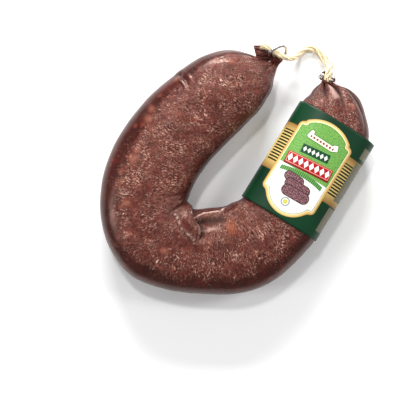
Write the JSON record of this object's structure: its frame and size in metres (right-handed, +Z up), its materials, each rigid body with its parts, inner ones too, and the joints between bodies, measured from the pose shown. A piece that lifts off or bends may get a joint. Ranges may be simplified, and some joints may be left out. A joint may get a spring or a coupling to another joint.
{
  "type": "cured sausage",
  "caption": "Pressed dry cured sausage in a horseshoe shape, with a plain printed paper band, wire clips on its gathered ends and a hanging string",
  "frame": {"origin": "middle of the underside's bounding box, on the surface the sausage lies on, string not counted", "axes": "+Z up through the thickness, +Y toward the two gathered ends, +X toward the banded arm; the closed bend points to -X and -Y"},
  "size_m": [0.1528, 0.1412, 0.0295],
  "materials": {
    "casing": "dry wrinkled casing, satin sheen",
    "band_paper": "coated paper, semi gloss",
    "clip_wire": "bright wire",
    "twine": "soft natural twine"
  },
  "bodies": {
    "root": {"sausage": "casing", "label_band": "band_paper", "left_clip": "clip_wire", "right_clip": "clip_wire", "hanging_string": "twine"}
  },
  "joints": []
}
